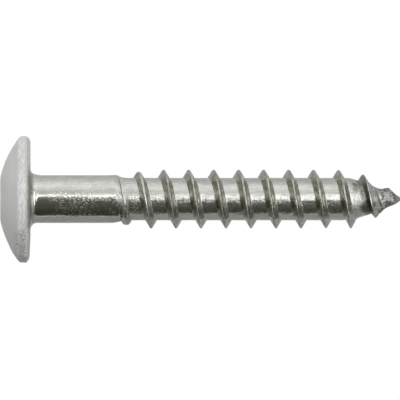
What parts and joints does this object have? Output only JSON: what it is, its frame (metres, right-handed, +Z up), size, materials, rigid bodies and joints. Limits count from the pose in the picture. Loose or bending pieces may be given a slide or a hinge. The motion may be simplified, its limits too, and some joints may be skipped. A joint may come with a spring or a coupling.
{
  "type": "facade screw",
  "caption": "Stainless wood-thread screw with a wide, low domed, painted head and a six-lobe drive, for fixing facade panels to timber.",
  "frame": {"origin": "on the floor, under the middle of the lying screw's length", "axes": "+X runs from the head towards the tip along the floor, +Y across, +Z up; the screw's own axis dips 6.32 degrees below +X"},
  "size_m": [0.0378, 0.012, 0.0119],
  "materials": {
    "steel": "bright rolled stainless steel; the head is coated in satin light grey paint"
  },
  "bodies": {
    "root": {"screw": "steel"}
  },
  "joints": []
}
